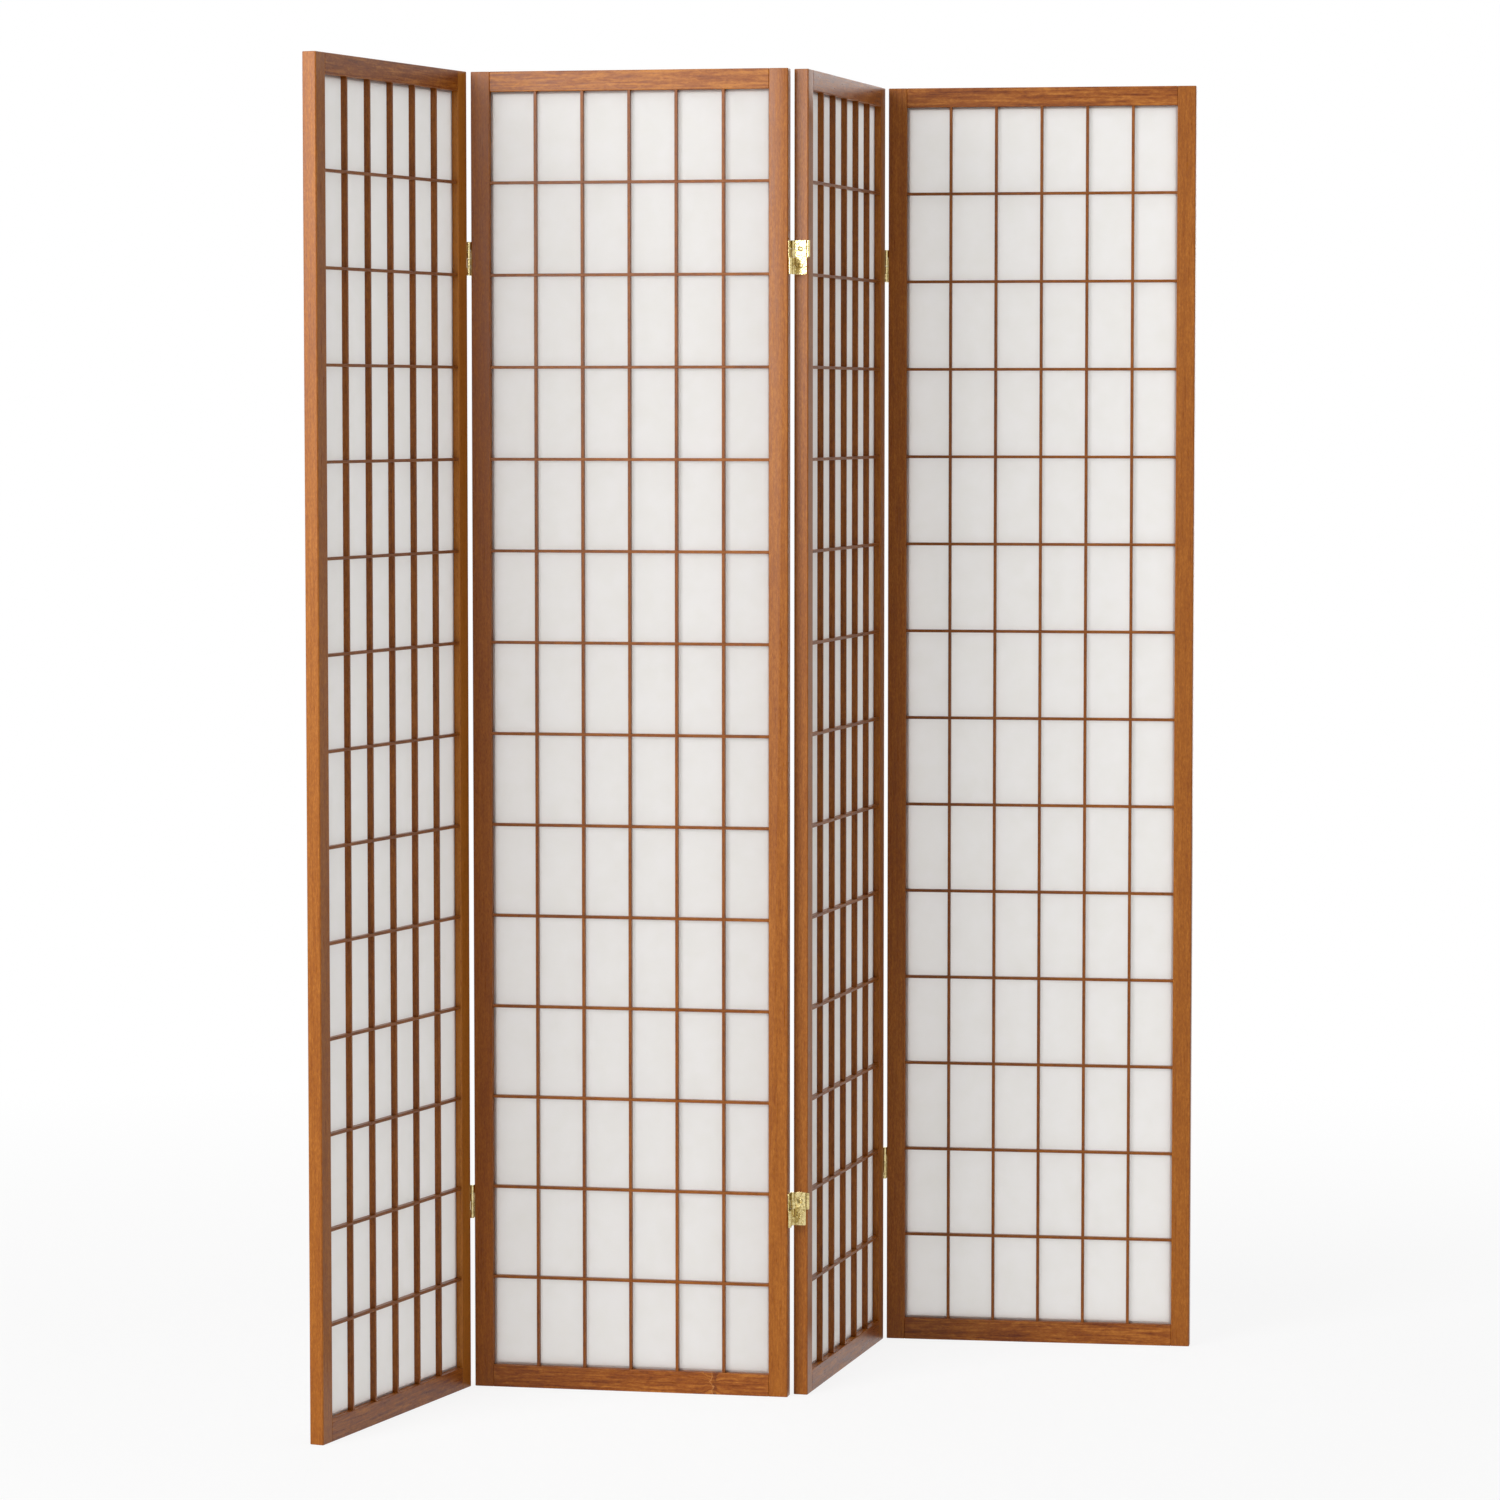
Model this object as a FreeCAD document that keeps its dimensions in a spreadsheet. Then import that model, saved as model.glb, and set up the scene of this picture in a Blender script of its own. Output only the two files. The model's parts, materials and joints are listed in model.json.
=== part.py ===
# Four-panel shoji folding screen on double-action hinges, free standing.
# Millimetres, +Z up. The origin is on the floor under the middle of the screen.
import FreeCAD
import Part
import math
import os
import Sketcher
from FreeCAD import Placement, Rotation, Vector

doc = FreeCAD.newDocument("FoldingScreen")

# Driving dimensions: alias, value, meaning.
SIZES = [
    ("panel_height", 1784.0, "panel, floor to top"),
    ("panel_width", 434.0, "panel, outer edge to outer edge"),
    ("panel_thick", 19.5, "frame stock thickness"),
    ("stile_face", 26.0, "stile width seen from the front"),
    ("top_rail_face", 27.0, "top rail height seen from the front"),
    ("bottom_rail_face", 30.0, "bottom rail height seen from the front"),
    ("corner_ease", 1.2, "chamfer along the outer stile corners"),
    ("edge_ease", 0.6, "chamfer on the other frame edges"),
    ("tenon_length", 16.0, "rail tenon into the stile"),
    ("tenon_thick", 7.0, "tenon through the stock thickness"),
    ("tenon_edge", 6.0, "tenon back from the outer rail edge"),
    ("tenon_root", 8.0, "tenon back from the opening edge of the rail"),
    ("glue_gap", 0.1, "room round a tenon"),
    ("row_count", 14, "paper fields up a panel"),
    ("column_count", 6, "paper fields across a panel"),
    ("slat_face", 4.0, "slat width seen from the front"),
    ("slat_deep", 8.0, "slat depth, front to paper"),
    ("slat_recess", 1.5, "slat fronts behind the frame front"),
    ("slat_stub", 3.0, "upright slat end let into a rail"),
    ("socket_gap", 0.15, "room round a slat end"),
    ("lap_gap", 0.05, "side play of a cross slat in its notch"),
    ("rebate_wide", 5.0, "rebate round the back of the opening"),
    ("paper_thick", 0.4, "paper sheet"),
    ("paper_trim", 0.8, "paper short of the rebate wall"),
    ("bead_face", 8.0, "bead width over the paper edge"),
    ("bead_deep", 6.0, "bead thickness"),
    ("bead_gap", 0.2, "room round the beads"),
    ("fold_gap", 6.0, "between two flat panels"),
    ("hinge_height", 45.0, "one hinge, top to bottom"),
    ("hinge_from_top", 250.0, "upper hinge centre below the top"),
    ("hinge_from_floor", 254.0, "lower hinge centre above the floor"),
    ("leaf_thick", 1.1, "hinge leaf sheet"),
    ("leaf_inset", 2.2, "leaf edge back from the panel face"),
    ("leaf_corner", 1.2, "chamfer of the free leaf corners"),
    ("neck_lap", 2.5, "curl strap overlapping the leaf"),
    ("link_thick", 1.1, "sheet of the swinging link"),
    ("swing_gap", 0.4, "link sheet clear of a barrel"),
    ("pin_stand", 0.8, "pin centre proud of the panel face"),
    ("pin_radius", 1.35, "hinge pin"),
    ("pin_play", 0.05, "running fit of a pin"),
    ("knuckle_radius", 2.5, "outside of the barrel"),
    ("knuckle_gap", 0.3, "between neighbouring knuckles"),
    ("screw_rise", 11.25, "screws above and below the hinge centre"),
    ("screw_radius", 1.5, "screw shank"),
    ("screw_play", 0.1, "shank in the leaf and in its pilot"),
    ("screw_reach", 15.0, "shank under the head"),
    ("head_radius", 3.0, "screw head"),
    ("head_height", 1.2, "screw head over the leaf"),
    ("pilot_spare", 1.0, "pilot deeper than the screw"),
    ("access_radius", 4.0, "hole in the link over a screw head"),
    ("first_heading", 35.1, "first panel, degrees from the X axis"),
    ("fold_one", 78.0, "turn of fold 1, about the front pins"),
    ("fold_two", 85.7, "turn of fold 2, about the back pins"),
    ("fold_three", 83.5, "turn of fold 3, about the front pins"),
]

sheet = doc.addObject("Spreadsheet::Sheet", "sizes")
for line, (alias, value, meaning) in enumerate(SIZES, start=1):
    sheet.set("A%d" % line, meaning)
    sheet.set("B%d" % line, str(value))
    sheet.setAlias("B%d" % line, alias)
doc.recompute()


def size(alias):
    return float(sheet.get(alias))


# Lengths that follow from the sheet, as expressions.
OPENING_WIDE = "(sizes.panel_width - 2 * sizes.stile_face)"
OPENING_HIGH = "(sizes.panel_height - sizes.top_rail_face - sizes.bottom_rail_face)"
COLUMN_PITCH = "((%s + sizes.slat_face) / sizes.column_count)" % OPENING_WIDE
ROW_PITCH = "((%s + sizes.slat_face) / sizes.row_count)" % OPENING_HIGH
FIRST_COLUMN = "(sizes.stile_face + %s - sizes.slat_face / 2)" % COLUMN_PITCH
FIRST_ROW = "(sizes.bottom_rail_face + %s - sizes.slat_face / 2)" % ROW_PITCH
TOP_OPENING = "(sizes.panel_height - sizes.top_rail_face)"
PAPER_DEPTH = "(sizes.slat_recess + sizes.slat_deep)"
LAP_DEPTH = "(sizes.slat_recess + sizes.slat_deep / 2)"
PIN_OUT = "(sizes.panel_thick / 2 + sizes.pin_stand)"
LEAF_EDGE = "(sizes.panel_thick / 2 - sizes.leaf_inset)"
LINK_EDGE = "(%s - sizes.knuckle_radius - sizes.swing_gap)" % PIN_OUT
BORE_RADIUS = "(sizes.pin_radius + sizes.pin_play)"
KNUCKLE = "((sizes.hinge_height - 3 * sizes.knuckle_gap) / 4)"
HALF_HINGE = "((sizes.hinge_height - sizes.knuckle_gap) / 2)"
UPPER_HINGE = "(sizes.panel_height - sizes.hinge_from_top)"

cuts = []


def new_body(name):
    body = doc.addObject("PartDesign::Body", name)
    body.Label = name
    return body


def origin_item(body, role):
    return next(item for item in body.Origin.OriginFeatures if item.Role == role)


def new_sketch(body, name, role, lift=None):
    sketch = body.newObject("Sketcher::SketchObject", name)
    sketch.AttachmentSupport = [(origin_item(body, role), "")]
    sketch.MapMode = "FlatFace"
    if lift:
        sketch.setExpression("AttachmentOffset.Base.z", lift)
    return sketch


def hold(sketch, kind, geometry, point, value, rule):
    # One dimension from the sketch origin, driven by the sheet.
    number = sketch.addConstraint(
        Sketcher.Constraint(kind, -1, 1, geometry, point, value)
    )
    sketch.setExpression("Constraints[%d]" % number, rule)


def outline(sketch, corners):
    # A closed outline through corners given as pairs of expressions.
    first = sketch.GeometryCount
    count = len(corners)
    turn = 2 * math.pi / count
    spots = [Vector(math.cos(turn * k), math.sin(turn * k), 0) for k in range(count)]
    for k in range(count):
        sketch.addGeometry(Part.LineSegment(spots[k], spots[(k + 1) % count]))
    for k in range(count):
        after = first + (k + 1) % count
        sketch.addConstraint(Sketcher.Constraint("Coincident", first + k, 2, after, 1))
    for k, (across, up) in enumerate(corners):
        hold(sketch, "DistanceX", first + k, 1, spots[k].x, across)
        hold(sketch, "DistanceY", first + k, 1, spots[k].y, up)


def rectangle(sketch, left, low, right, high):
    outline(sketch, [(left, low), (right, low), (right, high), (left, high)])


def eight_sides(sketch, across, up, radius):
    # The small knuckles, pins, holes and screws have eight flats, at this radius
    # from the middle, so that the many small pieces stay light.
    corners = []
    for k in range(8):
        turn = "(22.5 deg + %d * 45 deg)" % k
        reach = "(%s) / cos(22.5 deg)" % radius
        corners.append(
            ("%s + %s * cos%s" % (across, reach, turn), "%s + %s * sin%s" % (up, reach, turn))
        )
    outline(sketch, corners)


def pad(body, name, sketch, length, back=False):
    feature = body.newObject("PartDesign::Pad", name)
    feature.Profile = sketch
    feature.setExpression("Length", length)
    feature.Reversed = back
    body.Tip = feature
    return feature


def pocket(body, name, sketch, length=None, back=False):
    # With no length the cut runs right through.
    before = body.Tip
    feature = body.newObject("PartDesign::Pocket", name)
    feature.Profile = sketch
    if length:
        feature.setExpression("Length", length)
    else:
        feature.Type = "ThroughAll"
    feature.Reversed = back
    body.Tip = feature
    cuts.append((before, feature))
    return feature


def row(body, name, features, role, spacing, count):
    # Copies along an axis of the body at an even pitch.
    before = body.Tip
    pattern = body.newObject("PartDesign::LinearPattern", name)
    pattern.Originals = features
    pattern.Direction = (origin_item(body, role), [""])
    pattern.Mode = "Spacing"
    pattern.setExpression("Offset", spacing)
    pattern.setExpression("Occurrences", count)
    body.Tip = pattern
    if features[0].TypeId == "PartDesign::Pocket":
        cuts.append((before, pattern))
    return pattern


def ease(body, name, chosen, rule):
    # Chamfer on the edges of the tip that a test picks.
    doc.recompute()
    base = body.Tip
    edges = [
        "Edge%d" % number
        for number, edge in enumerate(base.Shape.Edges, start=1)
        if chosen(edge)
    ]
    feature = body.newObject("PartDesign::Chamfer", name)
    feature.Base = (base, edges)
    feature.setExpression("Size", rule)
    body.Tip = feature


def near(first, second):
    return abs(first - second) < 1e-4


def runs_along(edge, axis):
    # True for a straight edge parallel to an axis letter.
    ends = [vertex.Point for vertex in edge.Vertexes]
    if len(ends) < 2 or edge.Curve.TypeId != "Part::GeomLine":
        return False
    return all(near(getattr(ends[0], a), getattr(ends[1], a)) for a in "xyz" if a != axis)


def tenon_bounds(rail):
    # Low and high edge of a rail's tenon above the floor.
    if rail == "bottom":
        low = "sizes.tenon_edge"
        high = "(sizes.bottom_rail_face - sizes.tenon_root)"
    else:
        low = "(%s + sizes.tenon_root)" % TOP_OPENING
        high = "(sizes.panel_height - sizes.tenon_edge)"
    return low, high


TENON_FRONT = "((sizes.panel_thick - sizes.tenon_thick) / 2)"
TENON_BACK = "((sizes.panel_thick + sizes.tenon_thick) / 2)"


def make_stile(name, side, hinged):
    # Upright of the frame. Its edges are eased, its back is rebated for the paper,
    # and it is mortised for the rails. The cross slats butt against its inner edge.
    body = new_body(name)
    if side == "left":
        outer = "0"
        inner = "sizes.stile_face"
        inward = "(sizes.stile_face - (%s))"
        outer_x = 0.0
    else:
        outer = "sizes.panel_width"
        inner = "(sizes.panel_width - sizes.stile_face)"
        inward = "(sizes.panel_width - sizes.stile_face + (%s))"
        outer_x = size("panel_width")

    section = new_sketch(body, name + "_section", "XY_Plane")
    rectangle(section, outer, "0", inner, "sizes.panel_thick")
    pad(body, name + "_blank", section, "sizes.panel_height")

    def outer_corner(edge):
        return runs_along(edge, "z") and near(edge.Vertexes[0].X, outer_x)

    def other_edge(edge):
        upright = runs_along(edge, "z")
        inner_corner = upright and abs(edge.Vertexes[0].X - outer_x) > size("stile_face") / 2
        return inner_corner or not upright and near(edge.Vertexes[0].Z, edge.Vertexes[-1].Z)

    ease(body, name + "_corners", outer_corner, "sizes.corner_ease")
    ease(body, name + "_eased", other_edge, "sizes.edge_ease")

    rebate = new_sketch(body, name + "_rebate_lines", "XZ_Plane", "-" + PAPER_DEPTH)
    rectangle(
        rebate,
        inward % "sizes.rebate_wide",
        "sizes.bottom_rail_face - sizes.rebate_wide",
        inner,
        TOP_OPENING + " + sizes.rebate_wide",
    )
    pocket(body, name + "_rebate", rebate)

    mortise = new_sketch(body, name + "_mortise_lines", "YZ_Plane", inner)
    for rail in ("bottom", "top"):
        low, high = tenon_bounds(rail)
        rectangle(
            mortise,
            TENON_FRONT + " - sizes.glue_gap",
            low + " - sizes.glue_gap",
            TENON_BACK + " + sizes.glue_gap",
            high + " + sizes.glue_gap",
        )
    depth = "sizes.tenon_length + sizes.glue_gap"
    pocket(body, name + "_mortises", mortise, depth, back=side == "right")

    if hinged:
        pilots = new_sketch(body, name + "_pilot_lines", "YZ_Plane", outer)
        for centre in ("sizes.hinge_from_floor", UPPER_HINGE):
            for sign in (" - ", " + "):
                eight_sides(
                    pilots,
                    "sizes.panel_thick / 2",
                    centre + sign + "sizes.screw_rise",
                    "sizes.screw_radius + sizes.screw_play",
                )
        depth = "sizes.screw_reach - sizes.leaf_thick + sizes.pilot_spare"
        pocket(body, name + "_pilots", pilots, depth, back=side == "left")
    return body


def make_rail(name, place):
    # Cross member of the frame: a rebated profile with a tenon at each end
    # and a housing for every upright slat.
    body = new_body(name)
    if place == "bottom":
        outer = "0"
        edge = "sizes.bottom_rail_face"
        into = "(sizes.bottom_rail_face - (%s))"
        outer_z = 0.0
    else:
        outer = "sizes.panel_height"
        edge = TOP_OPENING
        into = "(" + TOP_OPENING + " + (%s))"
        outer_z = size("panel_height")
    thick = size("panel_thick")

    section = new_sketch(body, name + "_section", "YZ_Plane", "sizes.stile_face")
    outline(
        section,
        [
            ("0", outer),
            ("sizes.panel_thick", outer),
            ("sizes.panel_thick", into % "sizes.rebate_wide"),
            (PAPER_DEPTH, into % "sizes.rebate_wide"),
            (PAPER_DEPTH, edge),
            ("0", edge),
        ],
    )
    pad(body, name + "_blank", section, OPENING_WIDE)

    def outside(edge):
        start = edge.Vertexes[0].Point
        end = edge.Vertexes[-1].Point
        faced = any(near(start.y, y) and near(end.y, y) for y in (0.0, thick))
        return faced or near(start.z, outer_z) and near(end.z, outer_z)

    ease(body, name + "_eased", outside, "sizes.edge_ease")

    low, high = tenon_bounds(place)
    for end, lift, back in (
        ("left", "sizes.stile_face", True),
        ("right", "(sizes.panel_width - sizes.stile_face)", False),
    ):
        lines = new_sketch(body, "%s_%s_tenon_lines" % (name, end), "YZ_Plane", lift)
        rectangle(lines, TENON_FRONT, low, TENON_BACK, high)
        pad(body, "%s_%s_tenon" % (name, end), lines, "sizes.tenon_length", back)

    lift = "-(sizes.slat_recess - sizes.socket_gap)"
    housing = new_sketch(body, name + "_housing_lines", "XZ_Plane", lift)
    half = "(sizes.slat_face / 2 + sizes.socket_gap)"
    rectangle(
        housing,
        FIRST_COLUMN + " - " + half,
        into % "sizes.slat_stub + sizes.socket_gap",
        FIRST_COLUMN + " + " + half,
        edge,
    )
    housed = pocket(body, name + "_housing", housing)
    row(body, name + "_housings", [housed], "X_Axis", COLUMN_PITCH, "sizes.column_count - 1")
    return body


def make_upright_slats():
    # Upright slats of one lattice, notched in their front half for the cross slats.
    body = new_body("upright_slats_form")
    lift = "sizes.bottom_rail_face - sizes.slat_stub"
    section = new_sketch(body, "upright_section", "XY_Plane", lift)
    rectangle(
        section,
        FIRST_COLUMN + " - sizes.slat_face / 2",
        "sizes.slat_recess",
        FIRST_COLUMN + " + sizes.slat_face / 2",
        PAPER_DEPTH,
    )
    slat = pad(body, "upright_slat", section, OPENING_HIGH + " + 2 * sizes.slat_stub")
    row(body, "upright_row", [slat], "X_Axis", COLUMN_PITCH, "sizes.column_count - 1")

    lines = new_sketch(body, "upright_lap_lines", "YZ_Plane", "sizes.panel_width")
    half = "(sizes.slat_face / 2 + sizes.lap_gap)"
    rectangle(lines, "0", FIRST_ROW + " - " + half, LAP_DEPTH, FIRST_ROW + " + " + half)
    lap = pocket(body, "upright_lap", lines)
    row(body, "upright_laps", [lap], "Z_Axis", ROW_PITCH, "sizes.row_count - 1")
    return body


def make_cross_slats():
    # Cross slats of one lattice. They are half as deep as the uprights, lie whole
    # in the notches of these with their fronts flush, and butt against the stiles.
    body = new_body("cross_slats_form")
    section = new_sketch(body, "cross_section", "YZ_Plane", "sizes.stile_face")
    rectangle(
        section,
        "sizes.slat_recess",
        FIRST_ROW + " - sizes.slat_face / 2",
        LAP_DEPTH,
        FIRST_ROW + " + sizes.slat_face / 2",
    )
    slat = pad(body, "cross_slat", section, OPENING_WIDE)
    row(body, "cross_row", [slat], "Z_Axis", ROW_PITCH, "sizes.row_count - 1")
    return body


def make_paper():
    # The sheet glued to the backs of the uprights, its edges in the rebate.
    paper = doc.addObject("Part::Box", "paper_form")
    margin = "(sizes.rebate_wide - sizes.paper_trim)"
    paper.setExpression("Length", OPENING_WIDE + " + 2 * " + margin)
    paper.setExpression("Width", "sizes.paper_thick")
    paper.setExpression("Height", OPENING_HIGH + " + 2 * " + margin)
    paper.setExpression("Placement.Base.x", "sizes.stile_face - " + margin)
    paper.setExpression("Placement.Base.y", PAPER_DEPTH)
    paper.setExpression("Placement.Base.z", "sizes.bottom_rail_face - " + margin)
    return paper


def make_beads():
    # Four beads in the rebate that hold the edges of the paper.
    body = new_body("paper_beads_form")
    lift = "-(%s + sizes.paper_thick)" % PAPER_DEPTH
    lines = new_sketch(body, "bead_lines", "XZ_Plane", lift)
    margin = "(sizes.rebate_wide - sizes.bead_gap)"
    left = "(sizes.stile_face - %s)" % margin
    right = "(sizes.panel_width - sizes.stile_face + %s)" % margin
    low = "(sizes.bottom_rail_face - %s)" % margin
    high = "(%s + %s)" % (TOP_OPENING, margin)
    rectangle(lines, left, low, left + " + sizes.bead_face", high)
    rectangle(lines, right + " - sizes.bead_face", low, right, high)
    start = left + " + sizes.bead_face + sizes.bead_gap"
    end = right + " - sizes.bead_face - sizes.bead_gap"
    rectangle(lines, start, low, end, low + " + sizes.bead_face")
    rectangle(lines, start, high + " - sizes.bead_face", end, high)
    pad(body, "beads", lines, "sizes.bead_deep", back=True)
    return body


# The hinge pieces are drawn about the hinge centre: X across the gap between two
# flat panels, Y from front to back and Z up. The lower half of a leaf curls round
# the front pin and its upper half round the back pin.
def make_leaf():
    body = new_body("leaf_form")
    lines = new_sketch(body, "leaf_lines", "YZ_Plane", "-sizes.fold_gap / 2")
    half = "sizes.hinge_height / 2"
    rectangle(lines, "-" + LEAF_EDGE, "-" + half, LEAF_EDGE, half)
    for sign in ("-", ""):
        eight_sides(
            lines,
            "0",
            sign + "sizes.screw_rise",
            "sizes.screw_radius + sizes.screw_play",
        )
    pad(body, "leaf_plate", lines, "sizes.leaf_thick")

    def free_corner(edge):
        at_end = near(abs(edge.Vertexes[0].Z), size("hinge_height") / 2)
        return runs_along(edge, "x") and at_end and edge.Vertexes[0].Y * edge.Vertexes[0].Z < 0

    ease(body, "leaf_corners", free_corner, "sizes.leaf_corner")

    start = "-sizes.hinge_height / 2"
    strap = new_sketch(body, "leaf_strap_lines", "XY_Plane", start)
    rectangle(
        strap,
        "-sizes.knuckle_radius",
        "-" + PIN_OUT,
        "-sizes.knuckle_radius + sizes.leaf_thick",
        "-%s + sizes.neck_lap" % LEAF_EDGE,
    )
    neck = pad(body, "leaf_strap", strap, KNUCKLE)
    ring = new_sketch(body, "leaf_knuckle_lines", "XY_Plane", start)
    eight_sides(ring, "0", "-" + PIN_OUT, "sizes.knuckle_radius")
    knuckle = pad(body, "leaf_knuckle", ring, KNUCKLE)
    eye = new_sketch(body, "leaf_eye_lines", "XY_Plane", start)
    eight_sides(eye, "0", "-" + PIN_OUT, BORE_RADIUS)
    bore = pocket(body, "leaf_eye", eye, KNUCKLE, back=True)
    turned = body.newObject("PartDesign::PolarPattern", "leaf_other_half")
    turned.Originals = [neck, knuckle, bore]
    turned.Axis = (origin_item(body, "X_Axis"), [""])
    turned.Angle = 360
    turned.Occurrences = 2
    body.Tip = turned
    return body


def make_link():
    # The swinging link of the lower half: a sheet between the two pins,
    # with one knuckle at each and a hole over the screw head.
    body = new_body("link_form")
    lines = new_sketch(body, "link_lines", "YZ_Plane", "-sizes.link_thick / 2")
    low = "-sizes.hinge_height / 2"
    rectangle(lines, "-" + LINK_EDGE, low, LINK_EDGE, "-sizes.knuckle_gap / 2")
    eight_sides(lines, "0", "-sizes.screw_rise", "sizes.access_radius")
    pad(body, "link_plate", lines, "sizes.link_thick")

    lift = "%s + %s + sizes.knuckle_gap" % (low, KNUCKLE)
    strap = new_sketch(body, "link_strap_lines", "XY_Plane", lift)
    rectangle(
        strap,
        "-sizes.link_thick / 2",
        "-" + PIN_OUT,
        "sizes.link_thick / 2",
        "-(%s - sizes.swing_gap)" % LINK_EDGE,
    )
    neck = pad(body, "link_strap", strap, KNUCKLE)
    ring = new_sketch(body, "link_knuckle_lines", "XY_Plane", lift)
    eight_sides(ring, "0", "-" + PIN_OUT, "sizes.knuckle_radius")
    knuckle = pad(body, "link_knuckle", ring, KNUCKLE)
    eye = new_sketch(body, "link_eye_lines", "XY_Plane", lift)
    eight_sides(eye, "0", "-" + PIN_OUT, BORE_RADIUS)
    bore = pocket(body, "link_eye", eye, KNUCKLE, back=True)
    other = body.newObject("PartDesign::Mirrored", "link_other_side")
    other.Originals = [neck, knuckle, bore]
    other.MirrorPlane = (origin_item(body, "XZ_Plane"), [""])
    body.Tip = other
    return body


def make_pin():
    # One pin through the two knuckles of half a hinge, its corners on the pin radius.
    body = new_body("pin_form")
    lines = new_sketch(body, "pin_lines", "XY_Plane")
    eight_sides(lines, "0", "0", "sizes.pin_radius * cos(22.5 deg)")
    pad(body, "pin_rod", lines, HALF_HINGE)
    return body


def make_screw():
    # Wood screw, its axis along X and its head on the leaf.
    body = new_body("screw_form")
    lines = new_sketch(body, "screw_head_lines", "YZ_Plane")
    eight_sides(lines, "0", "0", "sizes.head_radius")
    pad(body, "screw_head", lines, "sizes.head_height")
    shank = new_sketch(body, "screw_shank_lines", "YZ_Plane")
    eight_sides(shank, "0", "0", "sizes.screw_radius")
    pad(body, "screw_shank", shank, "sizes.screw_reach", back=True)
    return body


def gather(name, links, placement):
    # A placed group of pieces.
    group = doc.addObject("Part::Compound", name)
    group.Label = name
    group.Links = links
    group.Placement = placement
    return group


nodes = []


def add_node(name, links, placement):
    nodes.append(gather(name, links, placement))


stile_plain_left = make_stile("plain_left_stile_form", "left", hinged=False)
stile_plain_right = make_stile("plain_right_stile_form", "right", hinged=False)
stile_left = make_stile("hinged_left_stile_form", "left", hinged=True)
stile_right = make_stile("hinged_right_stile_form", "right", hinged=True)
top_rail = make_rail("top_rail_form", "top")
bottom_rail = make_rail("bottom_rail_form", "bottom")
upright_slats = make_upright_slats()
cross_slats = make_cross_slats()
paper_sheet = make_paper()
paper_beads = make_beads()
leaf = make_leaf()
link = make_link()
pin = make_pin()
screw = make_screw()
doc.recompute()

# How the panels stand. Each fold turns about one of its two pin lines: folds 1
# and 3 about the front line, fold 2 about the back line.
FOLDS = [
    ("front", size("fold_one")),
    ("back", size("fold_two")),
    ("front", size("fold_three")),
]
half_gap = size("fold_gap") / 2
half_thick = size("panel_thick") / 2
pin_out = half_thick + size("pin_stand")
right_seat = Placement(
    Vector(size("panel_width") + half_gap, half_thick, 0), Rotation()
)
left_seat = Placement(Vector(-half_gap, half_thick, 0), Rotation())
up = Vector(0, 0, 1)
panels = [Placement(Vector(0, 0, 0), Rotation(up, size("first_heading")))]
for line, turn in FOLDS:
    side = -1 if line == "front" else 1
    axis = Vector(0, side * pin_out, 0)
    swing = Placement(Vector(0, 0, 0), Rotation(up, side * turn), axis)
    panels.append(panels[-1] * right_seat * swing * left_seat.inverse())

for number, panel in enumerate(panels, start=1):
    first = number == 1
    last = number == len(panels)
    prefix = "panel_%d_" % number
    add_node(prefix + "left_stile", [stile_plain_left if first else stile_left], panel)
    add_node(prefix + "right_stile", [stile_plain_right if last else stile_right], panel)
    add_node(prefix + "top_rail", [top_rail], panel)
    add_node(prefix + "bottom_rail", [bottom_rail], panel)
    add_node(prefix + "vertical_slats", [upright_slats], panel)
    add_node(prefix + "horizontal_slats", [cross_slats], panel)
    add_node(prefix + "paper", [paper_sheet], panel)
    add_node(prefix + "paper_beads", [paper_beads], panel)

# Copies of the hinge pieces at both hinge heights, left hand and right hand.
heights = [
    size("hinge_from_floor"),
    size("panel_height") - size("hinge_from_top"),
]
about_face = Rotation(up, 180)
head_over = Rotation(Vector(1, 0, 0), 180)
lower_start = -size("hinge_height") / 2
upper_start = size("knuckle_gap") / 2
seat_x = -half_gap + size("leaf_thick")
rise = size("screw_rise")


def copies(name, form, spots):
    return [
        gather("%s_%d" % (name, number), [form], Placement(spot, turn))
        for number, (spot, turn) in enumerate(spots, start=1)
    ]


still = Rotation()
left_leaves = copies("left_leaf", leaf, [(Vector(0, 0, z), still) for z in heights])
right_leaves = copies("right_leaf", leaf, [(Vector(0, 0, z), about_face) for z in heights])
lower_links = copies("lower_link", link, [(Vector(0, 0, z), still) for z in heights])
upper_links = copies("upper_link", link, [(Vector(0, 0, z), head_over) for z in heights])
left_pins = copies(
    "left_pin",
    pin,
    [(Vector(0, -pin_out, z + lower_start), still) for z in heights]
    + [(Vector(0, pin_out, z + upper_start), still) for z in heights],
)
right_pins = copies(
    "right_pin",
    pin,
    [(Vector(0, pin_out, z + lower_start), still) for z in heights]
    + [(Vector(0, -pin_out, z + upper_start), still) for z in heights],
)
left_screws = copies(
    "left_screw",
    screw,
    [(Vector(seat_x, 0, z + side * rise), still) for z in heights for side in (-1, 1)],
)
right_screws = copies(
    "right_screw",
    screw,
    [(Vector(-seat_x, 0, z + side * rise), about_face) for z in heights for side in (-1, 1)],
)

for number, (line, turn) in enumerate(FOLDS, start=1):
    left = panels[number - 1] * right_seat
    right = panels[number] * left_seat
    prefix = "fold_%d_" % number
    add_node(prefix + "left_leaves", left_leaves, left)
    add_node(prefix + "right_leaves", right_leaves, right)
    add_node(prefix + "lower_links", lower_links, right if line == "front" else left)
    add_node(prefix + "upper_links", upper_links, left if line == "front" else right)
    add_node(prefix + "left_pins", left_pins, left)
    add_node(prefix + "right_pins", right_pins, right)
    add_node(prefix + "left_screws", left_screws, left)
    add_node(prefix + "right_screws", right_screws, right)
doc.recompute()

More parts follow.
